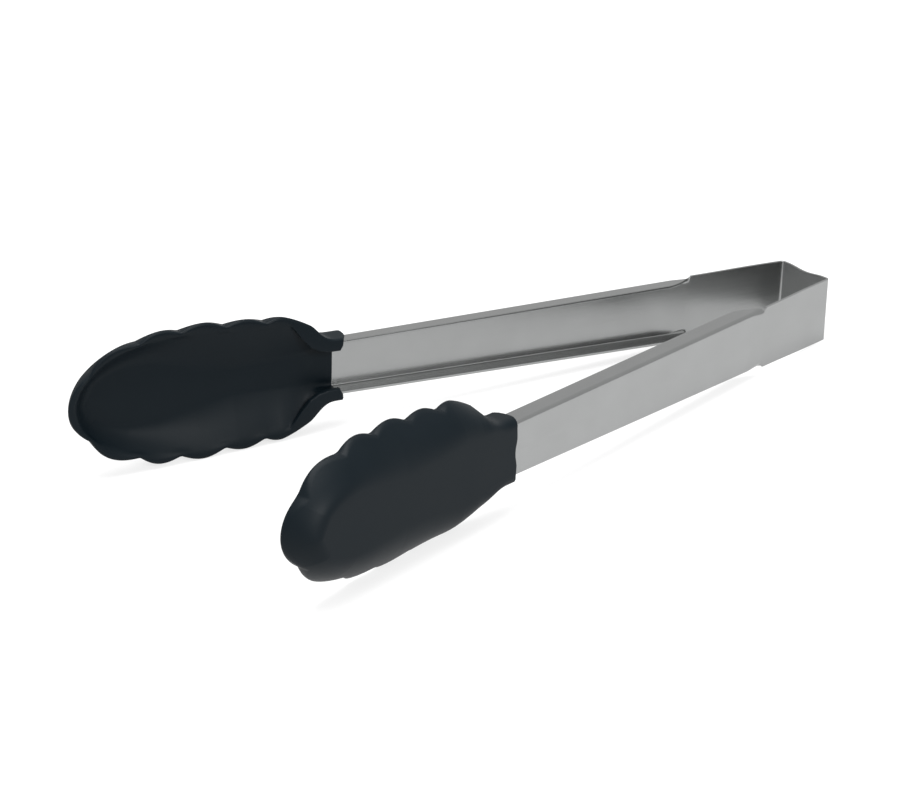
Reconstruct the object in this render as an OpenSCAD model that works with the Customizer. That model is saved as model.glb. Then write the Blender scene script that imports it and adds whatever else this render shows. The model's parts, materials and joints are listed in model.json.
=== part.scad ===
// Spring-loaded kitchen tongs, resting open on a table.
// One steel strip is bent into a bow with two spring leaves and two channel arms.
// A scalloped, moulded head grips the tang at the end of each arm.
// Arm modules are drawn in arm coordinates: X runs from the bow corner to the tip,
// Y points inwards to the other arm and Z across the strip. Y = 0 is the arm's outer face.

/* [Spring strip] */
// Height of the strip across the bow and the spring leaves
strip_h = 25.4; // [24:0.2:27]
// Sheet thickness of the strip
sheet_t = 1; // [0.8:0.1:1.2]
// Outside width of the flat end of the bow
bow_w = 26.4; // [24:0.2:30]
// Outside radius of the two corner bends
corner_r = 2; // [1.6:0.1:2.6]
// Depth of the shallow waist in the two long edges of the bow's flat end
waist_depth = 0.8; // [0.5:0.1:2]
// Length of the waist along those edges
waist_len = 20; // [16:1:20]
// Angle between each arm and the centre line when the tongs are open
arm_angle = 11.4; // [10:0.1:13]

/* [Channel arms] */
// Distance from the bow corner to the end of the full-height leaf
leaf_end = 43.4; // [40:0.2:46]
// Distance from the bow corner to where the flanges begin to rise
flange_start = 46; // [45:0.2:54]
// Height of the channel where the flanges start
channel_h_bow = 23.5; // [22:0.1:24]
// Height of the channel where it enters the head
channel_h_head = 20.7; // [19:0.1:22]
// Depth of the flanges from the arm's outer face
flange_d = 7.4; // [6.6:0.2:8]
// Outside radius of the fold between web and flange
fold_r = 1.5; // [1.2:0.1:2.4]
// Width of the tang inside the head
tang_w = 14; // [10:0.5:15]
// Distance from the bow corner to the end of the tang
tang_end = 272; // [250:1:276]
// Diameter of the moulding anchor holes in the tang
anchor_d = 5; // [3:0.5:6]

/* [Heads] */
// Distance from the bow corner to the rear edge of the head's sleeve
sleeve_start = 196.7; // [192:0.1:199]
// Thickness of the moulding around the channel
sleeve_t = 2; // [1.5:0.1:3]
// Height of the rim above the arm's outer face
rim_n = 9.3; // [9:0.1:10.5]
// Thickness of the rim
rim_t = 2.6; // [2:0.1:3]
// Widest half width of the head, at the crests of its scallops
head_half_w = 26.5; // [24:0.1:28]
// Distance from the bow corner to the tip of the head
head_end = 305.9; // [300:0.1:310]
// Depth of the scallops
scallop_d = 2.2; // [1:0.1:2.5]

/* [Hidden] */
$fn = 48;

// Straight steps in each bend of the sheet
arc_steps = 8;

// Where the strip is divided between the bow and the leaves
leaf_start = 4;
bend_angle = 90 - arm_angle;
bend_tangent = corner_r * tan(bend_angle / 2);
waist_r = (waist_len * waist_len / 4 + waist_depth * waist_depth) / (2 * waist_depth);

// The flanges stop just inside the sleeve, and the flat tang goes on from there
flange_end = sleeve_start + 4;
flange_ramp = 8.5;
flange_root = 0.3;
shoulder_h = channel_h_bow / 2 - fold_r;
socket_gap = 0.1;

// Sleeve: a C around the channel, with a cover plate on the inside of the web
cover_start = sleeve_start + 2.3;
cover_half_h = 6.2;
cover_n = 2.4;
hook_h = 4.9;
sleeve_half_h = channel_h_head / 2 + sleeve_t;
sleeve_corner_r = 3;

// Pan: the scalloped part of the head, from inside the sleeve to the tip
pan_start = sleeve_start + 7;
pan_step = 0.1;
pan_floor_n = pan_step - sleeve_t;
sleeve_end = pan_start + 1;
flare_start = pan_start + 0.5;
flare_end = pan_start + 21;
flare_half_w = head_half_w - 1.4;
round_start = head_end - 50;
floor_end = head_end - 9;
floor_round = 20;
flank_power = 0.6;
tip_power = 2.5;
rim_edge = 0.3;
side_steps = 27;
tip_steps = 26;
section_steps = 6;
columns = side_steps + tip_steps;

// Where the notches between scallops are, along the rim from the tip
notches = [16, 38.5, 55.2, 73, 89];
last_crest = 97;
inner_wave = 0.45;

// The tongs lie on the low corners of the bow and the lowest scallop of each head
rest_reach = 250;
pitch = atan((head_half_w - strip_h / 2) / rest_reach);
lift = strip_h / 2 * cos(pitch);
front_x = (head_end * cos(arm_angle) + rim_n * sin(arm_angle)) * cos(pitch);
rear_x = strip_h / 2 * sin(pitch);
centre_shift = (front_x - rear_x) / 2;

function ease(a, b, x) =
    let (t = min(1, max(0, (x - a) / (b - a))))
    t * t * (3 - 2 * t);

// Half outline of the rim without scallops: an [along, across] point for each column
function flank_half_w(x) =
    let (open = pow(ease(flare_start, flare_end, x), flank_power),
         wide = flare_half_w + (head_half_w - flare_half_w) * ease(flare_end, round_start, x))
    sleeve_half_h - pan_step + (wide - sleeve_half_h) * open;
function outline_point(i) =
    i <= side_steps
        ? let (x = pan_start + (round_start - pan_start) * i / side_steps)
          [x, flank_half_w(x)]
        : let (a = 90 * (i - side_steps) / tip_steps)
          [round_start + (head_end - round_start) * sin(a),
           head_half_w * sqrt(max(0, 1 - pow(sin(a), tip_power)))];
outline = [for (i = [0 : columns]) outline_point(i)];
arc_from_rear = [for (i = 0, run = 0; i <= columns;
                      run = run + norm(outline[min(i + 1, columns)] - outline[i]), i = i + 1) run];
rim_length = arc_from_rear[columns];

// Unit vector out of the outline at a column
function outward(i) =
    let (a = outline[max(0, i - 1)],
         b = i < columns ? outline[i + 1] : [a[0], -a[1]],
         d = (b - a) / norm(b - a))
    i == 0 ? [0, 1] : [-d[1], d[0]];

// Scallops count back from the tip; behind the last crest the rim runs smoothly into the sleeve
function scallop_phase(run) =
    lookup(run, concat([[0, 0.5]], [for (k = [0 : len(notches) - 1]) [notches[k], k + 1]],
                       [[last_crest, len(notches) + 0.5]]));
function scallop_offset(i) =
    scallop_d * (abs(sin(180 * scallop_phase(rim_length - arc_from_rear[i]))) - 1);

// Half width of the flat floor between the wings of the pan
function floor_half_w(x) = lookup(x, [[pan_start, sleeve_half_h - rim_t - 3 * pan_step],
                                      [flare_end, 5], [240, 5], [255, 7], [268, 10], [280, 12]]);
function floor_point(i) =
    let (x = outline[i][0], close = 1 - ease(floor_end - floor_round, floor_end, x))
    [min(x, floor_end), min(floor_half_w(x), outline[i][1]) * sqrt(close)];

// Share of the smooth wing that is left where a notch trims its edge
function trim_share(i) = 1 + scallop_offset(i) / ((outline[i] - floor_point(i)) * outward(i));

// One point of a wing that rises from its foot on the floor to its top at the rim
function wing_point(foot, top, v, foot_n, top_n) =
    [foot[0] + (top[0] - foot[0]) * v, foot_n + (top_n - foot_n) * v * v,
     foot[1] + (top[1] - foot[1]) * v];
function section_ring(i) =
    let (foot = floor_point(i), top = outline[i], share = trim_share(i),
         edge = foot + (top - foot) * share,
         inner = top + outward(i) * (inner_wave * scallop_offset(i) - rim_t))
    concat([for (k = [0 : section_steps])
            wing_point(foot, top, share * k / section_steps, pan_floor_n, rim_n - rim_edge)],
           [[edge[0], rim_n, edge[1]]],
           [for (k = [section_steps : -1 : 0])
            wing_point(foot, inner, k / section_steps, cover_n - pan_step, rim_n)]);
function mirror_z(p) = [p[0], p[1], -p[2]];

module pan() {
    ring = 2 * section_steps + 3;
    last = 2 * columns;
    points = [for (i = [0 : last], p = section_ring(i <= columns ? i : last - i))
              i <= columns ? p : mirror_z(p)];
    sides = [for (i = [0 : last - 1], k = [0 : ring - 2])
             [i * ring + k, i * ring + k + 1, (i + 1) * ring + k + 1, (i + 1) * ring + k]];
    underside = [for (i = [0 : columns - 1])
                 [i * ring, (i + 1) * ring, (last - i - 1) * ring, (last - i) * ring]];
    topside = [for (f = underside) [for (k = [3 : -1 : 0]) f[k] + ring - 1]];
    rear_upper = concat(
        [for (k = [0 : section_steps - 1]) [k + 1, k, ring - 1 - k, ring - 2 - k]],
        [[section_steps + 1, section_steps, section_steps + 2]]);
    rear_lower = [for (f = rear_upper) [for (k = [len(f) - 1 : -1 : 0]) f[k] + last * ring]];
    rear_floor = [[0, last * ring, last * ring + ring - 1, ring - 1]];
    polyhedron(points, concat(sides, underside, topside, rear_upper, rear_lower, rear_floor),
               convexity = 6);
}

// Places a piece drawn in object coordinates, bow at the origin, on the table
module on_table() {
    translate([centre_shift, 0, lift]) rotate([0, pitch, 0]) children();
}

// Places a piece drawn in arm coordinates on the far arm, or the near one
module on_arm(near) {
    on_table() mirror([0, near ? 1 : 0, 0])
        translate([0, bow_w / 2, 0]) rotate([0, 0, 180 - arm_angle]) children();
}

// A flat outline in the arm's plane, given the sheet's thickness inwards
module sheet(thickness) {
    rotate([90, 0, 0]) translate([0, 0, -thickness]) linear_extrude(thickness) children();
}

// Arm coordinates to the plan of the far arm, bow at the origin
function to_plan(p) = [-p[0] * cos(arm_angle) - p[1] * sin(arm_angle),
                       bow_w / 2 + p[0] * sin(arm_angle) - p[1] * cos(arm_angle)];
function mirror_y(p) = [p[0], -p[1]];
function reversed(list) = [for (i = [len(list) - 1 : -1 : 0]) list[i]];

// Corner bend of the far arm as plan points, from the arm round to the flat end
function bend_points(radius) = [
    for (i = [0 : arc_steps])
        let (a = 270 - bend_angle * i / arc_steps)
        to_plan([bend_tangent + radius * cos(a), corner_r + radius * sin(a)])];

module bow_plan() {
    outer = concat([to_plan([leaf_start, 0])], bend_points(corner_r));
    inner = concat([to_plan([leaf_start, sheet_t])], bend_points(corner_r - sheet_t));
    polygon(concat(outer, reversed([for (q = outer) mirror_y(q)]),
                   [for (q = inner) mirror_y(q)], reversed(inner)));
}

module bow() {
    on_table() difference() {
        translate([0, 0, -strip_h / 2]) linear_extrude(strip_h) bow_plan();
        for (s = [-1, 1])
            translate([-sheet_t - 1, 0, s * (strip_h / 2 + waist_r - waist_depth)])
                rotate([0, 90, 0]) cylinder(h = sheet_t + 2, r = waist_r, $fn = 96);
    }
}

module leaf() {
    translate([leaf_start, 0, -strip_h / 2]) cube([leaf_end - leaf_start, sheet_t, strip_h]);
}

// Points round one fold of the channel: inwards and across, for the upper fold
function fold_points(h, radius) = [
    for (i = [0 : arc_steps])
        let (a = 180 - 90 * i / arc_steps)
        [fold_r + radius * cos(a), h / 2 - fold_r + radius * sin(a)]];
function channel_ring(x, h, depth) =
    let (outer = concat(fold_points(h, fold_r), [[depth, h / 2]]),
         inner = concat(fold_points(h, fold_r - sheet_t), [[depth, h / 2 - sheet_t]]),
         loop = concat(reversed([for (q = outer) mirror_y(q)]), outer,
                       reversed(inner), [for (q = inner) mirror_y(q)]))
    [for (q = loop) [x, q[0], q[1]]];
function channel_h(x) = channel_h_bow
    + (channel_h_head - channel_h_bow) * (x - flange_start) / (flange_end - flange_start);

module channel() {
    full = flange_start + flange_ramp;
    rings = [channel_ring(flange_start, channel_h_bow, fold_r + flange_root),
             channel_ring(full, channel_h(full), flange_d),
             channel_ring(flange_end, channel_h_head, flange_d)];
    n = len(rings[0]);
    walls = [for (j = [0 : 1], k = [0 : n - 1])
             [j * n + k, j * n + (k + 1) % n, (j + 1) * n + (k + 1) % n, (j + 1) * n + k]];
    start = [for (k = [0 : n / 2 - 2]) [n - 1 - k, n - 2 - k, k + 1, k]];
    end = [for (q = start) [for (k = [3 : -1 : 0]) q[k] + 2 * n]];
    polyhedron(concat(rings[0], rings[1], rings[2]), concat(walls, start, end), convexity = 6);
}

// Flat stretch between the leaf and the channel, a step lower than the leaf
module shoulder_outline() {
    upper = [[leaf_end, strip_h / 2], [leaf_end + 0.2, strip_h / 2 - 1.1],
             [flange_start - 0.6, channel_h_bow / 2 - 0.4], [flange_start, shoulder_h]];
    polygon(concat(upper, reversed([for (q = upper) mirror_y(q)])));
}

// Flat tang with a round end and three anchor holes, from a station along the arm
module tang_outline(start) {
    difference() {
        union() {
            translate([start, -tang_w / 2]) square([tang_end - tang_w / 2 - start, tang_w]);
            translate([tang_end - tang_w / 2, 0]) circle(d = tang_w);
        }
        for (x = [tang_end - 50, tang_end - 28.5, tang_end - tang_w / 2])
            translate([x, 0]) circle(d = anchor_d);
    }
}

module channel_arm() {
    sheet(sheet_t) shoulder_outline();
    channel();
    sheet(sheet_t) tang_outline(flange_end);
}

module rounded_box_outline(w, h, r) {
    translate([r, -h / 2]) square([w - 2 * r, h]);
    translate([0, r - h / 2]) square([w, h - 2 * r]);
    for (x = [r, w - r], y = [r - h / 2, h / 2 - r]) translate([x, y]) circle(r);
}

// Section of the sleeve: X inwards, Y across
module sleeve_section() {
    inner_half_h = channel_h_head / 2 - sheet_t - socket_gap;
    difference() {
        translate([-sleeve_t, 0])
            rounded_box_outline(flange_d + 2 * sleeve_t, 2 * sleeve_half_h, sleeve_corner_r);
        translate([sheet_t, -inner_half_h]) square([flange_d - sheet_t, 2 * inner_half_h]);
        translate([sheet_t, hook_h - sleeve_half_h])
            square([flange_d + sleeve_t, 2 * (sleeve_half_h - hook_h)]);
    }
}

// Slots in the sleeve for the web and the two flanges
module channel_slots() {
    outer_half_h = channel_h_head / 2 + socket_gap;
    slot = sheet_t + 2 * socket_gap;
    translate([-socket_gap, -outer_half_h]) square([slot, 2 * outer_half_h]);
    for (y = [-outer_half_h, outer_half_h - slot])
        translate([-socket_gap, y]) square([flange_d + 2 * socket_gap, slot]);
}

// The stretch of sleeve between two stations along the arm
module sleeve_stretch(from, to) {
    translate([from, 0, 0]) rotate([90, 0, 90]) linear_extrude(to - from) children();
}

module cover_section(half_h) {
    translate([sheet_t, -half_h]) square([cover_n - sheet_t, 2 * half_h]);
}

// The tang's pocket runs back into the slot for the web
module moulded_head() {
    sleeve_stretch(sleeve_start, cover_start) difference() {
        sleeve_section();
        channel_slots();
    }
    sleeve_stretch(cover_start, flange_end) {
        difference() {
            sleeve_section();
            channel_slots();
        }
        translate([socket_gap, 0]) cover_section(cover_half_h);
    }
    difference() {
        union() {
            sleeve_stretch(flange_end, sleeve_end) {
                sleeve_section();
                cover_section(channel_h_head / 2);
            }
            pan();
        }
        sheet(sheet_t) tang_outline(flange_end - 1);
    }
}

module spring_bow() {
    color("silver") bow();
}

module near_spring_leaf() {
    color("silver") on_arm(true) leaf();
}

module far_spring_leaf() {
    color("silver") on_arm(false) leaf();
}

module near_channel_arm() {
    color("lightgray") on_arm(true) channel_arm();
}

module far_channel_arm() {
    color("lightgray") on_arm(false) channel_arm();
}

module near_scalloped_head() {
    color([0.12, 0.14, 0.16]) on_arm(true) moulded_head();
}

module far_scalloped_head() {
    color([0.12, 0.14, 0.16]) on_arm(false) moulded_head();
}

spring_bow();
near_spring_leaf();
far_spring_leaf();
near_channel_arm();
far_channel_arm();
near_scalloped_head();
far_scalloped_head();
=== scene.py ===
import json
import math

import bpy
import numpy as np
from mathutils import Matrix, Vector

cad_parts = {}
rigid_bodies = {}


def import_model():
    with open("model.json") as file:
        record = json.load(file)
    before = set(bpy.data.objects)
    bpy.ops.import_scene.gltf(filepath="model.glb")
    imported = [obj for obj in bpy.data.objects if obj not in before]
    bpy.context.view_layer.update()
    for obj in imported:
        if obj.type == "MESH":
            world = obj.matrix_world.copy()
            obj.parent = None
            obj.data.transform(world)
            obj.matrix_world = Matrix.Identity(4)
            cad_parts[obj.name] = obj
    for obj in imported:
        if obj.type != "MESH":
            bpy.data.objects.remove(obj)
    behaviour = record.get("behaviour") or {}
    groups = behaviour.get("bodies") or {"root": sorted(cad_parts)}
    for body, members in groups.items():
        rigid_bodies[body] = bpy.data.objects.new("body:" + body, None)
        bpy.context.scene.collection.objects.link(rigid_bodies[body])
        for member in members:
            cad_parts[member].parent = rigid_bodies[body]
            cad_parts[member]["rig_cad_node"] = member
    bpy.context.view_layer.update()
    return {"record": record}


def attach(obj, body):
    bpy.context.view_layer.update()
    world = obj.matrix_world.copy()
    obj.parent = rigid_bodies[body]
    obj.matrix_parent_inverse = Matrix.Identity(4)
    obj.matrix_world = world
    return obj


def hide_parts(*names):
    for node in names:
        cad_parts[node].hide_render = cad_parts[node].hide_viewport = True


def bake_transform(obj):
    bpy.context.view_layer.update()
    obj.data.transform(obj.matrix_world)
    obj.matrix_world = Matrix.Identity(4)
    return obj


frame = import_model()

MM = 0.001
SIDES = {"far": 1, "near": -1}

# ---- the object's own axes, from the flat face on the end of the bow ----
mount = [m for m in frame["record"]["mounts"] if m["name"] == "bow_end_face"][0]
ORIGIN = np.array(mount["pos_m"], float) / MM
AXIS_X = np.array(mount["axis"], float)
AXIS_Y = np.array([0.0, 1.0, 0.0])
AXIS_Z = np.cross(AXIS_X, AXIS_Y)

# Sizes are in millimetres. The bow, the leaf's length, the rim, its scallops and the overall lengths
# are the CAD's. The fold of the flange, the sleeve and the pan's walls are shaped more closely here.
# On an arm, s runs along it from the bow, n inwards from its outer face and z across it.
# A pair in brackets is what something changes from and to.

# ---- steel strip ----
# the sheet, with the small rounding of its cut edges
SHEET_T = 1.0
MID_SHEET = SHEET_T / 2
STRIP_HALF_H = 12.7
EDGE_R = 0.16
EDGE_ANGLES = [math.radians(a) for a in (30, 60, 90)]

# the bow, with a shallow waist in its flat end
BOW_W = 26.4
ARM_ANGLE = math.radians(11.4)
CORNER_R = 2.0
BEFORE_BEND_S = 3.0
WAIST_DEPTH = 0.8
WAIST_HALF_LEN = 10.0

# the spring leaf narrows a little, then steps down where the channel begins
LEAF_START = 4.0
LEAF_TAPER_START = 10.0
LEAF_TAPER = 0.4
LEAF_END = 43.4
STEP_END = 43.55
STEP_HALF_H = 11.8

# the channel's web narrows evenly from its half height at WEB_BOW_S to that at the strip's end
WEB_BOW_S = 50.0
WEB_HALF_H_BOW = 12.0
WEB_HALF_H_HEAD = 10.35
STRIP_END = 200.4

# the flange rises over its ramp to its full depth, while the blank widens and folds up
FLANGE_START = 43.5
FLANGE_RAMP = 13.0
FLANGE_POWER = 1.5
FLANGE_D = 7.3
FOLD_UP_END = 46.0
BLANK_FULL_S = 46.5
FOLD_TIGHTENS = (46.0, 54.0)
FOLD_R = (2.6, 1.5)
SPLAY = math.radians(2.0)
FULL_FOLD = math.pi / 2 - SPLAY

# how finely the strip is meshed, and the angle in degrees that keeps its edges crisp
WEB_ROWS, ARC_ROWS, FLANGE_ROWS = 10, 10, 6
ARC_SHARE_MAX = 0.7
BEND_STEPS, BOW_FLAT_STEPS, BOW_ROWS = 12, 12, 12
STRIP_SHARP = 28

# ---- moulded heads ----
# the sleeve: its outer floor, and inside it the cover over the web, a trough and the side wall;
# the cover's edge is (inwards from COVER_N, across from COVER_HALF_H)
SLEEVE_HALF_H = 12.4
SLEEVE_FLOOR_N = -2.0
SLEEVE_CORNER_R = 3.0
FLAT_HALF_W = 6.6
COVER_N = 1.4
COVER_HALF_H = 6.7
COVER_EDGE = [(-0.3, 0.25), (-0.25, 0.1), (0.0, -0.2)]
TROUGH_N = 1.1
TROUGH_CORNER = 0.5
WALL_Z = 9.1

# middle of the steel inside the sleeve: (inwards, across from the edge of the web)
STEEL_PATH = [(MID_SHEET, -1.2), (0.8, -0.7), (1.3, -0.5), (7.0, -0.5)]

# outline of the rim: it flares out from the sleeve, runs along the flank and closes round the tip
PAN_START = 200.5
BLEND_LEN = 11.0
FLARE_START = PAN_START - 1.5
FLARE_END = 228.5
FLARE_HALF_W = 25.0
FLARE_POWER = 0.65
HEAD_HALF_W = 26.5
ROUND_START = 255.0
ROUND_POWER = 2.5
HEAD_END = 305.9

# section of the rim, with a short upright edge below its rounding
RIM_N = 9.3
RIM_T = 2.6
RIM_R = 0.8
WING_TOP = RIM_N - RIM_R
CREST_WALL = 0.3

# scallops: notches at distances back along the rim from the tip, sharper outside than inside
SCALLOP_D = 2.2
NOTCHES = [16.0, 38.5, 55.2, 73.0, 89.0]
LAST_CREST = 97.0
NOTCH_SOFT = 0.06
INNER_SOFT = 0.5
INNER_WAVE = 0.45

# floor of the pan: half widths inside and outside, and the powers by which the wings curve up
FLOOR_N = 2.6
FLOOR_RAMP_END = 218.0
FLOOR_S = [PAN_START, 215, 225, 240, 255, 268, 280]
FLOOR_W = [FLAT_HALF_W, 6.0, 5.4, 5.0, 7.0, 10.0, 12.0]
OUTER_FLOOR_W = [11.6, 10.4, 11.0, 9.5, 9.0, 10.5, 12.0]
FLOOR_END = HEAD_END - 9
FLOOR_ROUND_POWER = 4
OUTER_POWER, OUTER_POWER_RUN = (2.6, 2.0), (215, 250)
INNER_POWER, INNER_POWER_RUN = (1.12, 1.9), (225, 285)

# the flat lip over the sleeve's mouth: its inner edge lies at LIP_Z over LIP_S, until it fades
LIP_S = [199, 204, 208, 211.3, 214.5, 217.5, 221]
LIP_Z = [7.5, 7.6, 8.5, 10.4, 14.0, 18.6, 24.0]
LIP_FADE = (210.0, 222.0)
LIP_T = 2.0
LIP_LOW = RIM_N - LIP_T
LIP_EDGE_R = 0.6

# the soft roll that takes the lip's place along the pan; it ends at ROLL_END of the wing
ROLL_R = 1.2
ROLL_DIP = 0.15
ROLL_DROP = 0.3
ROLL_END = 0.9

# where the sleeve starts, over its outer floor, its sides and its lip
INNER_MOUTH = 199.3
MOUTH_FLOOR_Z = [0, 1.6, 3.2, 5.2, 9.4, 11.4]
MOUTH_FLOOR_S = [198.1, 198.0, 197.6, 197.2, 197.5, 197.0]
MOUTH_SIDE_N = [-1, 0.5, 2, 5, 7, WING_TOP]
MOUTH_SIDE_S = [197.0, 196.5, 196.2, 196.3, 196.9, 198.0]
MOUTH_LIP_Z = [LIP_Z[0], SLEEVE_HALF_H - 0.6]
MOUTH_LIP_S = [INNER_MOUTH + 0.2, 198.2]

# how finely a head is meshed, and the angle in degrees that keeps its edges crisp
RIM_SAMPLES, COLS, SLEEVE_COLS = 900, 320, 6
FLOOR_ROWS, WING_ROWS, CORNER_STEPS = 4, 12, 6
ROUND_STEPS, LIP_ROWS, UNDER_ROWS = 4, 3, 5
OUTER_ROWS = FLOOR_ROWS + WING_ROWS + 1
FIRST_INNER_ROW = OUTER_ROWS + ROUND_STEPS + 1 + LIP_ROWS
HEAD_SHARP = 50


def ease(a, b, x):
    """Smooth step from 0 at a to 1 at b."""
    t = min(1.0, max(0.0, (x - a) / (b - a)))
    return t * t * (3 - 2 * t)


def mix(a, b, t):
    """From a to b by the share t."""
    return a + (b - a) * t


def to_frame(x, y, z):
    """Object coordinates in millimetres, bow at the origin, to the row frame in metres."""
    return (ORIGIN + AXIS_X * x + AXIS_Y * y + AXIS_Z * z) * MM


def arm_plan(s, n):
    """Object coordinates (x, y) of a point of the far arm."""
    x = -s * math.cos(ARM_ANGLE) - n * math.sin(ARM_ANGLE)
    y = BOW_W / 2 + s * math.sin(ARM_ANGLE) - n * math.cos(ARM_ANGLE)
    return x, y


def arm_point(side, s, n, z):
    """A point of an arm in the row frame."""
    x, y = arm_plan(s, n)
    return to_frame(x, side * y, z)


def build(name, points, faces, sharp, uvs=None):
    """A mesh piece from points in the row frame; edges sharper than sharp degrees stay crisp."""
    mesh = bpy.data.meshes.new(name)
    mesh.from_pydata([tuple(p) for p in points], [], faces)
    mesh.validate()
    if uvs is not None:
        layer = mesh.uv_layers.new(name="strip")
        for loop in mesh.loops:
            layer.data[loop.index].uv = uvs[loop.vertex_index]
    mesh.shade_smooth()
    mesh.set_sharp_from_angle(angle=math.radians(sharp))
    obj = bpy.data.objects.new(name, mesh)
    bpy.context.scene.collection.objects.link(obj)
    return obj


def grid_faces(rows, cols, flip):
    """Quads between cols sections of rows points each, closed round the rows."""
    faces = []
    for i in range(cols - 1):
        here, there = i * rows, (i + 1) * rows
        for j in range(rows):
            after = (j + 1) % rows
            quad = (here + j, here + after, there + after, there + j)
            faces.append(quad[::-1] if flip else quad)
    return faces


def cap_faces(rows, base, forward):
    """Closes the end of a folded sheet with quads between its outer and its inner face."""
    half = rows // 2
    faces = []
    for k in range(half // 2):
        upper = (k, k + 1, half - k - 1, half - k)
        lower = tuple((rows - j) % rows for j in upper)
        faces.append(tuple(base + j for j in (upper if forward else upper[::-1])))
        faces.append(tuple(base + j for j in (lower[::-1] if forward else lower)))
    return faces


# ---------------------------------------------------------------- steel strip
def edge_round():
    """(rise, depth) pairs round the cut edge of the sheet, from its outer to its inner face."""
    outer = [(EDGE_R * math.sin(a), EDGE_R * (1 - math.cos(a))) for a in EDGE_ANGLES]
    inner = [(rise, SHEET_T - depth) for rise, depth in outer[::-1]]
    return outer + inner


def both_halves(upper):
    """A closed section from its upper half, which starts and ends on the middle line."""
    return upper + [np.array([n, -z]) for n, z in upper[1:-1]][::-1]


def web_half_h(s):
    """Half height of the channel's web."""
    return mix(WEB_HALF_H_BOW, WEB_HALF_H_HEAD, (s - WEB_BOW_S) / (STRIP_END - WEB_BOW_S))


def fold_radius(s):
    """The fold is wider where the flange begins to rise."""
    return mix(*FOLD_R, ease(*FOLD_TIGHTENS, s))


def fold_root(s):
    """Distance across at which the web ends and the fold begins."""
    return web_half_h(s) - fold_radius(s)


def flange_depth(s):
    """How far the flange reaches inwards from the web's outer face."""
    u = min(1.0, max(0.0, (s - FLANGE_START) / FLANGE_RAMP))
    return FLANGE_D * (1 - (1 - u) ** FLANGE_POWER)


def blank_half_h(s):
    """Half width of the flat blank: the leaf, a small step, then the flange rising at a slant."""
    leaf = STRIP_HALF_H - LEAF_TAPER * ease(LEAF_TAPER_START, LEAF_END, s)
    if s <= LEAF_END:
        return leaf
    if s <= STEP_END:
        return mix(leaf, STEP_HALF_H, (s - LEAF_END) / (STEP_END - LEAF_END))
    radius, depth = fold_radius(s), flange_depth(s)
    middle = radius - MID_SHEET
    if depth < radius:
        reach = middle * math.acos(1 - depth / radius)
    else:
        reach = middle * math.pi / 2 + depth - radius
    return mix(STEP_HALF_H, fold_root(s) + reach, ease(FLANGE_START, BLANK_FULL_S, s))


def strip_point(s, w, depth):
    """(inwards, across) at distance w over the blank, depth below the outer face."""
    fold = ease(FLANGE_START, FOLD_UP_END, s)
    radius, root = fold_radius(s), fold_root(s)
    flat = np.array([depth, w])
    if w <= root:
        return flat
    arc = (radius - MID_SHEET) * FULL_FOLD
    a = min(1.0, (w - root) / arc) * FULL_FOLD
    r = radius - depth
    bent = np.array([radius - r * math.cos(a), root + r * math.sin(a)])
    if w - root > arc:
        bent = bent + (w - root - arc) * np.array([math.sin(a), math.cos(a)])
    return mix(flat, bent, fold)


def half_rows(s):
    """Distances over the upper half of the blank, from the middle to the edge."""
    root = fold_root(s)
    spare = blank_half_h(s) - EDGE_R - root
    arc = min((fold_radius(s) - MID_SHEET) * FULL_FOLD, ARC_SHARE_MAX * spare)
    rows = [root * k / WEB_ROWS for k in range(WEB_ROWS)]
    rows += [root + arc * k / ARC_ROWS for k in range(ARC_ROWS)]
    rows += [root + arc + (spare - arc) * k / FLANGE_ROWS for k in range(FLANGE_ROWS + 1)]
    return rows


def strip_ring(s):
    """Closed section of the strip: outer face up, round the upper edge, inner face down, lower edge."""
    rows = half_rows(s)
    outer = [strip_point(s, w, 0) for w in rows]
    edge = [strip_point(s, rows[-1] + rise, depth) for rise, depth in edge_round()]
    inner = [strip_point(s, w, SHEET_T) for w in rows[::-1]]
    return both_halves(outer + edge + inner)


def strip_stations():
    """Stations along an arm, close together where the strip steps down and the flange folds up."""
    leaf = [LEAF_START, 6, 8, 10, 12, 14, 17, 20, 23, 26, 30, 34, 38, 41, 42.6, 43.1, LEAF_END]
    folding = [STEP_END] + list(np.arange(43.9, 57.0, 0.4))
    channel = list(np.arange(58.0, 199.0, 3.0)) + [STRIP_END]
    return leaf + folding + channel


def strip_arm(name, side):
    """One side of the strip: spring leaf and channel arm, up to inside the head."""
    stations = strip_stations()
    points, uvs = [], []
    for s in stations:
        ring = strip_ring(s)
        run = 0.0
        for j, p in enumerate(ring):
            points.append(arm_point(side, s, p[0], p[1]))
            if j:
                run += float(np.linalg.norm(ring[j] - ring[j - 1]))
            uvs.append((s * MM, run * MM))
    rows = len(points) // len(stations)
    faces = grid_faces(rows, len(stations), side > 0)
    faces += cap_faces(rows, 0, side > 0)
    faces += cap_faces(rows, len(points) - rows, side < 0)
    return build(name, points, faces, STRIP_SHARP, uvs)


def bow_outline(depth):
    """Plan of the bow at a depth in the sheet, from the near arm round the end to the far arm."""
    bend = math.pi / 2 - ARM_ANGLE
    tangent = CORNER_R * math.tan(bend / 2)
    radius = CORNER_R - depth
    half = [arm_plan(s, depth) for s in (LEAF_START, BEFORE_BEND_S)]
    for k in range(BEND_STEPS + 1):
        a = 1.5 * math.pi - bend * k / BEND_STEPS
        half.append(arm_plan(tangent + radius * math.cos(a), CORNER_R + radius * math.sin(a)))
    half += [(-depth, BOW_W / 2 * k / BOW_FLAT_STEPS) for k in range(BOW_FLAT_STEPS - 2, 0, -1)]
    return [(x, -y) for x, y in half] + [(-depth, 0.0)] + half[::-1]


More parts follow.
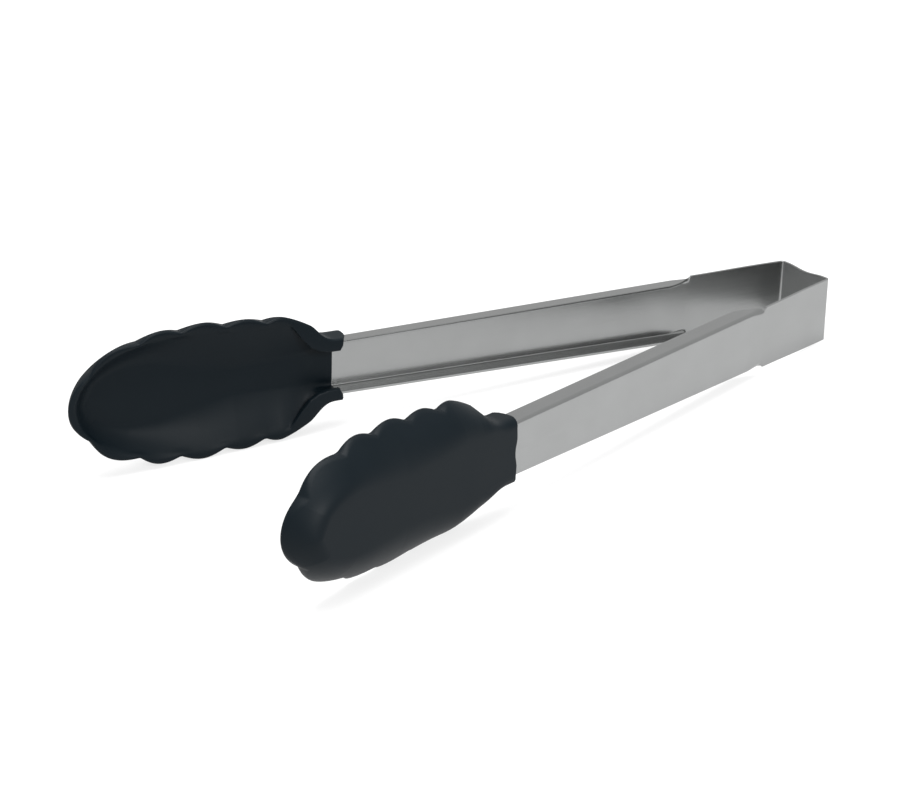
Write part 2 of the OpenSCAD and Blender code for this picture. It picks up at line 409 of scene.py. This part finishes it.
def bow_half_h(y):
    """Half height of the bow, with a shallow waist in the middle of its end."""
    if abs(y) >= WAIST_HALF_LEN:
        return STRIP_HALF_H
    return STRIP_HALF_H - WAIST_DEPTH * 0.5 * (1 + math.cos(math.pi * y / WAIST_HALF_LEN))


def bow_piece():
    """The end of the strip, with both corner bends."""
    outline = bow_outline(0)
    inside = bow_outline(SHEET_T)
    points, uvs = [], []
    run = 0.0
    for i, plan in enumerate(outline):
        if i:
            run += math.dist(plan, outline[i - 1])
        through = (np.array(inside[i]) - np.array(plan)) / SHEET_T
        top = bow_half_h(plan[1])
        heights = [top * k / BOW_ROWS for k in range(BOW_ROWS)] + [top - EDGE_R]
        outer = [np.array([0.0, z]) for z in heights]
        edge = [np.array([depth, top - EDGE_R + rise]) for rise, depth in edge_round()]
        inner = [np.array([SHEET_T, z]) for z in heights[::-1]]
        for depth, z in both_halves(outer + edge + inner):
            x, y = plan + through * depth
            points.append(to_frame(x, y, z))
            uvs.append((run * MM, z * MM))
    rows = len(points) // len(outline)
    faces = grid_faces(rows, len(outline), True)
    faces += cap_faces(rows, 0, True)
    faces += cap_faces(rows, len(points) - rows, False)
    return build("bow_spring", points, faces, STRIP_SHARP, uvs)


# ---------------------------------------------------------------- moulded heads
def flank_half_w(s):
    """Half width of the head between the sleeve and the round end, without its scallops."""
    opened = ease(FLARE_START, FLARE_END, s) ** FLARE_POWER
    wide = mix(FLARE_HALF_W, HEAD_HALF_W, ease(FLARE_END, ROUND_START, s))
    return mix(SLEEVE_HALF_H, wide, opened)


def run_along(path):
    """Distance from the start of a path to each of its points."""
    steps = np.hypot(*np.diff(np.array(path, float), axis=0).T)
    return np.concatenate([[0], np.cumsum(steps)])


def rim_curve():
    """Half outline of the rim without its scallops, and the distance run along it."""
    pts = [(s, flank_half_w(s)) for s in np.linspace(PAN_START, ROUND_START, RIM_SAMPLES)]
    for k in range(1, RIM_SAMPLES + 1):
        a = math.pi / 2 * k / RIM_SAMPLES
        pts.append((mix(ROUND_START, HEAD_END, math.sin(a)),
                    HEAD_HALF_W * math.sqrt(max(0.0, 1 - math.sin(a) ** ROUND_POWER))))
    return np.array(pts), run_along(pts)


# even steps along the rim, each with the way along it and the way out of it
CURVE, RUN = rim_curve()
RIM_LEN = RUN[-1]
STEPS = np.linspace(0, RIM_LEN, COLS + 1)
BASE = np.stack([np.interp(STEPS, RUN, CURVE[:, 0]), np.interp(STEPS, RUN, CURVE[:, 1])], 1)
TANGENT = np.gradient(BASE, axis=0)
TANGENT[0] = (1, 0)
TANGENT[-1] = (0, -1)
TANGENT /= np.linalg.norm(TANGENT, axis=1)[:, None]
NORMAL = np.stack([-TANGENT[:, 1], TANGENT[:, 0]], 1)

# the wave of the rim: distances back from the tip, and the wave's phase at each
WAVE_PLACES = [0.0] + NOTCHES + [LAST_CREST]
WAVE_PHASES = [0.5] + [k + 1.0 for k in range(len(NOTCHES))] + [len(NOTCHES) + 0.5]


def scallop(i, soft):
    """Offset from the smooth outline: 0 on a crest, -SCALLOP_D in a notch; soft rounds the notches."""
    phase = float(np.interp(RIM_LEN - STEPS[i], WAVE_PLACES, WAVE_PHASES))
    wave = math.sqrt(math.sin(math.pi * phase) ** 2 + soft * soft) - soft
    return SCALLOP_D * (wave / (math.sqrt(1 + soft * soft) - soft) - 1)


def floor_point(i, widths):
    """Edge of the floor (along, across) that faces column i of the rim."""
    s, rim_z = BASE[i]
    a = 0.0
    if s > ROUND_START:
        a = math.asin(min(1.0, (s - ROUND_START) / (HEAD_END - ROUND_START)))
        s = mix(ROUND_START, FLOOR_END, math.sin(a))
    close = math.sqrt(max(0.0, 1 - math.sin(a) ** FLOOR_ROUND_POWER))
    return np.array([s, min(float(np.interp(s, FLOOR_S, widths)), rim_z) * close])


def raised(plan, n):
    """(along, across) at a height to (along, inwards, across)."""
    return np.array([plan[0], n, plan[1]])


def plan_of(point):
    """(along, inwards, across) to (along, across)."""
    return np.array([point[0], point[2]])


def wall_point(foot, rim, v, bottom, top, power):
    """Point v of the way from the floor's edge to the rim, on a wing that curves up."""
    return raised(mix(foot, rim, v), mix(bottom, top, v ** power))


def resample(path, count):
    """The same path in count even steps."""
    path = np.array(path, float)
    run = run_along(path)
    t = np.linspace(0, run[-1], count + 1)
    return list(zip(np.interp(t, run, path[:, 0]), np.interp(t, run, path[:, 1])))


def sleeve_outer():
    """Outer half section of the sleeve (inwards, across), from the middle to its upper corner."""
    r = SLEEVE_CORNER_R
    flat = [(SLEEVE_FLOOR_N, FLAT_HALF_W * k / FLOOR_ROWS) for k in range(FLOOR_ROWS)]
    side = [(SLEEVE_FLOOR_N, FLAT_HALF_W)]
    for k in range(CORNER_STEPS + 1):
        a = math.pi / 2 * k / CORNER_STEPS
        side.append((SLEEVE_FLOOR_N + r - r * math.cos(a), SLEEVE_HALF_H - r + r * math.sin(a)))
    side.append((WING_TOP - CREST_WALL, SLEEVE_HALF_H))
    return flat + resample(side, WING_ROWS)


def sleeve_inner():
    """Inner half section below the lip: down the wall, through the trough, to the cover's edge."""
    path = [(LIP_LOW, WALL_Z), (TROUGH_N + TROUGH_CORNER, WALL_Z), (TROUGH_N, WALL_Z - TROUGH_CORNER)]
    path += [(COVER_N + n, COVER_HALF_H + z) for n, z in COVER_EDGE]
    return resample(path, WING_ROWS)


SLEEVE_OUTER = sleeve_outer()
SLEEVE_INNER = sleeve_inner()


def outer_rows(i, opened):
    """The outer floor and wing, from the middle line to the rim's short upright edge."""
    foot, rim = floor_point(i, OUTER_FLOOR_W), BASE[i]
    power = mix(*OUTER_POWER, ease(*OUTER_POWER_RUN, rim[0]))
    reach = max(1.0, float((rim - foot) @ NORMAL[i]))
    trim = 1 + scallop(i, NOTCH_SOFT) / reach
    rows = []
    for k, (n, z) in enumerate(SLEEVE_OUTER):
        if k < FLOOR_ROWS:
            pan = np.array([foot[0], SLEEVE_FLOOR_N, foot[1] * k / FLOOR_ROWS])
        else:
            v = trim * (k - FLOOR_ROWS) / WING_ROWS
            pan = wall_point(foot, rim, v, SLEEVE_FLOOR_N, WING_TOP - CREST_WALL, power)
        rows.append(mix(np.array([rim[0], n, z]), pan, opened))
    return rows


def rim_rows(edge, out):
    """The rounding between the rim's upright edge and its flat."""
    centre = edge - out * RIM_R
    angles = [math.pi / 2 * k / ROUND_STEPS for k in range(ROUND_STEPS + 1)]
    return [raised(centre + out * RIM_R * math.cos(a), WING_TOP + RIM_R * math.sin(a)) for a in angles]


def inner_edges(i):
    """Inner edge of the rim's flat, and the same edge without its waves."""
    wavy = BASE[i] + NORMAL[i] * (INNER_WAVE * scallop(i, INNER_SOFT) - RIM_T)
    smooth = BASE[i] - NORMAL[i] * (RIM_T + INNER_WAVE / 2 * SCALLOP_D)
    if i == COLS:
        wavy[1] = smooth[1] = 0.0
    return wavy, smooth


def lip_rows(tip, inward, wall_top):
    """Over the inner edge of the lip and back under it to the wall."""
    rows = []
    for k in range(1, ROUND_STEPS + 1):
        b = math.pi / 2 * k / ROUND_STEPS
        edge = tip - inward * LIP_EDGE_R * (1 - math.sin(b))
        rows.append(raised(edge, RIM_N - LIP_EDGE_R * (1 - math.cos(b))))
    rows.append(raised(tip, mix(RIM_N - LIP_EDGE_R, LIP_LOW, 0.5)))
    under = UNDER_ROWS - 2
    return rows + [raised(mix(tip, wall_top, k / under), LIP_LOW) for k in range(under + 1)]


def roll_rows(start, crown, end, count):
    """Without a lip the flat rolls softly over its crown into the wing."""
    rows = []
    for k in range(1, count + 1):
        u = k / count
        rows.append(start * (1 - u) ** 2 + crown * 2 * u * (1 - u) + end * u * u)
    return rows


def pan_ring(i):
    """Upper half section at column i of the rim: points (along, inwards, across) from the middle
    of the outer floor round the rim to the middle of the inner floor. Column 0 is the sleeve's."""
    s = BASE[i][0]
    opened = ease(PAN_START, PAN_START + BLEND_LEN, s)
    lip_gone = ease(*LIP_FADE, s)
    foot = floor_point(i, FLOOR_W)
    floor_n = mix(COVER_N, FLOOR_N, ease(PAN_START, FLOOR_RAMP_END, s))
    power = mix(*INNER_POWER, ease(*INNER_POWER_RUN, s))
    wavy, smooth = inner_edges(i)
    wall_top = mix(np.array([s, WALL_Z]), wavy, opened)
    tip = wavy
    lip_z = float(np.interp(s, LIP_S, LIP_Z))
    if s < LIP_S[-1] and lip_z < wavy[1]:
        tip = np.array([mix(s, wavy[0], lip_gone), lip_z])

    ring = outer_rows(i, opened)
    ring += rim_rows(plan_of(ring[-1]), NORMAL[i])
    # the flat of the rim or lip
    start = plan_of(ring[-1])
    inward = (tip - start) / max(1e-6, float(np.linalg.norm(tip - start)))
    stop = tip - inward * mix(LIP_EDGE_R, ROLL_R, lip_gone)
    ring += [raised(mix(start, stop, k / LIP_ROWS), RIM_N) for k in range(1, LIP_ROWS + 1)]
    # round its inner edge, as a lip or as a soft roll
    lip = lip_rows(tip, inward, wall_top)
    roll_end = wall_point(foot, smooth, ROLL_END, floor_n, RIM_N - ROLL_DROP, power)
    roll = roll_rows(raised(stop, RIM_N), raised(tip, RIM_N - ROLL_DIP), roll_end, len(lip))
    ring += [mix(p, q, lip_gone) for p, q in zip(lip, roll)]
    # down the wing to the floor
    for k in range(1, WING_ROWS + 1):
        v = 1 - k / WING_ROWS
        under_lip = wall_point(foot, wall_top, v, floor_n, LIP_LOW, power)
        under_roll = wall_point(foot, smooth, v * ROLL_END, floor_n, RIM_N - ROLL_DROP, power)
        pan = mix(under_lip, under_roll, lip_gone)
        ring.append(mix(np.array([s, *SLEEVE_INNER[k]]), pan, opened))
    # across the floor to the middle line
    edge = ring[-1]
    middle_s = mix(s, foot[0], opened)
    for k in range(1, FLOOR_ROWS + 1):
        u = 1 - k / FLOOR_ROWS
        ring.append(np.array([mix(middle_s, edge[0], u), edge[1], edge[2] * u]))
    return ring


def mouth_s(j, n, z):
    """Where row j of the sleeve starts: the outside runs nearer the bow than the inside."""
    if j >= FIRST_INNER_ROW:
        return INNER_MOUTH
    if j >= OUTER_ROWS:
        return float(np.interp(z, MOUTH_LIP_Z, MOUTH_LIP_S))
    if n < MOUTH_SIDE_N[0] or j <= FLOOR_ROWS:
        return float(np.interp(z, MOUTH_FLOOR_Z, MOUTH_FLOOR_S))
    return float(np.interp(n, MOUTH_SIDE_N, MOUTH_SIDE_S))


def steel_middle():
    """(inwards, across) inside the sheet, from beside the cover to the edge of the flange."""
    path = [(MID_SHEET, FLAT_HALF_W)] + [(n, WEB_HALF_H_HEAD + z) for n, z in STEEL_PATH]
    return resample(path, WING_ROWS)


def sleeve_columns():
    """Sections of the sleeve, the first drawn in to the middle of the steel it closes on."""
    section = pan_ring(0)
    steel = steel_middle()
    starts = [mouth_s(j, n, z) for j, (_, n, z) in enumerate(section)]
    buried = []
    for j, start in enumerate(starts):
        twin = len(section) - 1 - j
        row = min(j, twin)
        if row <= FLOOR_ROWS:
            n, z = MID_SHEET, FLAT_HALF_W * row / FLOOR_ROWS
        elif row < OUTER_ROWS:
            n, z = steel[row - FLOOR_ROWS]
        else:
            _, n, z = (section[j] + section[twin]) / 2
        buried.append(np.array([start, n, z]))
    columns = [buried]
    for c in range(SLEEVE_COLS):
        columns.append([np.array([mix(start, PAN_START, c / SLEEVE_COLS), n, z])
                        for start, (_, n, z) in zip(starts, section)])
    return columns


def head_mesh(name, side):
    """A whole head from its upper half sections: the lower half is the upper one mirrored."""
    columns = sleeve_columns() + [pan_ring(i) for i in range(COLS + 1)]
    rows = len(columns[0])
    points = [arm_point(side, *p) for column in columns for p in column]
    upper = [[c * rows + j for j in range(rows)] for c in range(len(columns))]
    # the lower half shares the middle rows and the tip
    lower = [list(ids) for ids in upper]
    for ids, column in zip(lower[:-1], columns):
        for j in range(1, rows - 1):
            s, n, z = column[j]
            ids[j] = len(points)
            points.append(arm_point(side, s, n, -z))
    faces = []
    for half, flip in ((upper, side > 0), (lower, side < 0)):
        for here, there in zip(half, half[1:]):
            for j in range(rows - 1):
                quad = (here[j], here[j + 1], there[j + 1], there[j])
                faces.append(quad[::-1] if flip else quad)
        # inside the steel: quads between the outer and inner rows of the first section
        first = half[0]
        for k in range(rows // 2):
            quad = tuple(dict.fromkeys([first[k], first[k + 1], first[rows - 2 - k], first[rows - 1 - k]]))
            if len(quad) > 2:
                faces.append(quad if flip else quad[::-1])
    return build(name, points, faces, HEAD_SHARP)


# ---------------------------------------------------------------- materials
# colour sockets of the Mix node
MIX_SHARE, MIX_A, MIX_B, MIX_OUT = 0, 6, 7, 2


def node(tree, kind, **settings):
    """A shader node; a setting is one of its inputs, with _ for a space, or else a property."""
    made = tree.nodes.new(kind)
    for key, value in settings.items():
        socket = key.replace("_", " ")
        if socket in made.inputs:
            made.inputs[socket].default_value = value
        else:
            setattr(made, key, value)
    return made


def colour_mix(tree, first, second):
    """A node that mixes two colours."""
    made = node(tree, "ShaderNodeMix", data_type="RGBA")
    made.inputs[MIX_A].default_value = (*first, 1)
    made.inputs[MIX_B].default_value = (*second, 1)
    return made


def wire(tree, links):
    """Links, each as (from node, its output, to node, its input)."""
    for source, output, target, socket in links:
        tree.links.new(source.outputs[output], target.inputs[socket])


def new_material(name, **settings):
    """A material with an empty tree but for its shader and output."""
    material = bpy.data.materials.new(name)
    material.use_nodes = True
    tree = material.node_tree
    tree.nodes.clear()
    shader = node(tree, "ShaderNodeBsdfPrincipled", **settings)
    out = node(tree, "ShaderNodeOutputMaterial")
    wire(tree, [(shader, "BSDF", out, "Surface")])
    return material, tree, shader


def steel_material():
    """Steel brushed along the strip: fine grain, and a faint cloudiness in its colour."""
    material, tree, shader = new_material("brushed_steel", Metallic=1.0, Anisotropic=0.35)
    uv = node(tree, "ShaderNodeUVMap", uv_map="strip")
    tangent = node(tree, "ShaderNodeTangent", direction_type="UV_MAP", uv_map="strip")
    stretch = node(tree, "ShaderNodeMapping", Scale=(28.0, 1900.0, 1.0))
    grain = node(tree, "ShaderNodeTexNoise", Scale=1.0, Detail=4.0)
    cloud = node(tree, "ShaderNodeTexNoise", Scale=60.0, Detail=2.0)
    rough = node(tree, "ShaderNodeMapRange", To_Min=0.20, To_Max=0.30)
    tint = colour_mix(tree, (0.292, 0.297, 0.295), (0.332, 0.338, 0.337))
    bump = node(tree, "ShaderNodeBump", Strength=0.05, Distance=0.0001)
    wire(tree, [
        (uv, "UV", stretch, "Vector"),
        (stretch, "Vector", grain, "Vector"),
        (uv, "UV", cloud, "Vector"),
        (grain, "Fac", rough, "Value"),
        (rough, "Result", shader, "Roughness"),
        (cloud, "Fac", tint, MIX_SHARE),
        (tint, MIX_OUT, shader, "Base Color"),
        (grain, "Fac", bump, "Height"),
        (bump, "Normal", shader, "Normal"),
        (tangent, "Tangent", shader, "Tangent"),
    ])
    return material


def nylon_material():
    """Dark moulded nylon with a soft sheen and a very fine texture."""
    material, tree, shader = new_material("black_nylon", Specular_IOR_Level=0.11)
    coords = node(tree, "ShaderNodeTexCoord")
    cloud = node(tree, "ShaderNodeTexNoise", Scale=70.0, Detail=5.0)
    fine = node(tree, "ShaderNodeTexNoise", Scale=2200.0, Detail=2.0)
    tint = colour_mix(tree, (0.0020, 0.0048, 0.0070), (0.0032, 0.0064, 0.0090))
    rough = node(tree, "ShaderNodeMapRange", To_Min=0.40, To_Max=0.52)
    bump = node(tree, "ShaderNodeBump", Strength=0.12, Distance=0.00005)
    wire(tree, [
        (coords, "Object", cloud, "Vector"),
        (coords, "Object", fine, "Vector"),
        (cloud, "Fac", tint, MIX_SHARE),
        (tint, MIX_OUT, shader, "Base Color"),
        (cloud, "Fac", rough, "Value"),
        (rough, "Result", shader, "Roughness"),
        (fine, "Fac", bump, "Height"),
        (bump, "Normal", shader, "Normal"),
    ])
    return material


STEEL = steel_material()
NYLON = nylon_material()

# ---------------------------------------------------------------- pieces
bow = bow_piece()
bow.data.materials.append(STEEL)
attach(bow, "bow")
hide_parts("spring_bow")

for label, side in SIDES.items():
    strip = strip_arm(f"{label}_strip_arm", side)
    strip.data.materials.append(STEEL)
    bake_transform(strip)
    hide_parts(f"{label}_spring_leaf", f"{label}_channel_arm")
    head = head_mesh(f"{label}_nylon_head", side)
    head.data.materials.append(NYLON)
    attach(head, f"{label}_arm")
    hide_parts(f"{label}_scalloped_head")

# the CAD's own nodes get the same two materials
for obj in bpy.context.scene.objects:
    if obj.type == "MESH" and obj.get("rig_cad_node"):
        obj.data.materials.clear()
        obj.data.materials.append(NYLON if "head" in obj["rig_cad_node"] else STEEL)

# ---------------------------------------------------------------- floor, light, camera (metres)
WHITE = (1, 1, 1, 1)
FLOOR_HALF_LEN = 3.0
FLOOR_GREY = 0.28
FLOOR_GLOW = 0.7
WORLD_STRENGTH = 0.7
CAMERA_TARGET = (-0.030087, -0.000807, 0.020)
CAMERA_DISTANCE = 1.091287
CAMERA_AZIMUTH, CAMERA_ELEVATION, CAMERA_ROLL = (math.radians(a) for a in (-37.865, 24.206, -1.123))


def pale_floor():
    """A large white-looking floor that still takes a soft shadow."""
    h = FLOOR_HALF_LEN
    mesh = bpy.data.meshes.new("floor")
    mesh.from_pydata([(-h, -h, 0), (h, -h, 0), (h, h, 0), (-h, h, 0)], [], [(0, 1, 2, 3)])
    material = bpy.data.materials.new("pale_floor")
    material.use_nodes = True
    inputs = material.node_tree.nodes["Principled BSDF"].inputs
    inputs["Base Color"].default_value = (FLOOR_GREY, FLOOR_GREY, FLOOR_GREY, 1)
    inputs["Emission Color"].default_value = WHITE
    inputs["Emission Strength"].default_value = FLOOR_GLOW
    inputs["Roughness"].default_value = 0.9
    inputs["Specular IOR Level"].default_value = 0.1
    mesh.materials.append(material)
    made = bpy.data.objects.new("floor", mesh)
    bpy.context.scene.collection.objects.link(made)
    return made


def area_light(name, location, target, size, size_y, power):
    """A rectangular light turned to its target; lengths in metres, power in watts."""
    data = bpy.data.lights.new(name, "AREA")
    data.shape = "RECTANGLE"
    data.size, data.size_y, data.energy = size, size_y, power
    lamp = bpy.data.objects.new(name, data)
    scene.collection.objects.link(lamp)
    lamp.location = location
    direction = Vector(target) - Vector(location)
    lamp.rotation_mode = "QUATERNION"
    lamp.rotation_quaternion = direction.to_track_quat("-Z", "Y")


floor = pale_floor()

scene = bpy.context.scene
world = bpy.data.worlds.new("studio")
scene.world = world
world.use_nodes = True
world.node_tree.nodes["Background"].inputs["Color"].default_value = WHITE
world.node_tree.nodes["Background"].inputs["Strength"].default_value = WORLD_STRENGTH

area_light("overhead_softbox", (-0.1, 0.1, 1.5), (0, 0, 0), 1.4, 1.0, 30)
area_light("front_softbox", (-0.25, -1.3, 0.75), (0, 0, 0.02), 0.7, 0.45, 15)

camera_data = bpy.data.cameras.new("camera")
camera_data.sensor_width = 36
camera_data.lens = 120
camera_data.clip_start, camera_data.clip_end = 0.01, 20
camera = bpy.data.objects.new("camera", camera_data)
scene.collection.objects.link(camera)
toward = Vector((math.sin(CAMERA_AZIMUTH) * math.cos(CAMERA_ELEVATION),
                 -math.cos(CAMERA_AZIMUTH) * math.cos(CAMERA_ELEVATION),
                 math.sin(CAMERA_ELEVATION)))
camera.location = Vector(CAMERA_TARGET) + toward * CAMERA_DISTANCE
turn = (-toward).to_track_quat("-Z", "Y").to_matrix() @ Matrix.Rotation(CAMERA_ROLL, 3, "Z")
camera.rotation_mode = "QUATERNION"
camera.rotation_quaternion = turn.to_quaternion()
scene.camera = camera

scene.view_settings.view_transform = "Standard"
scene.view_settings.look = "None"
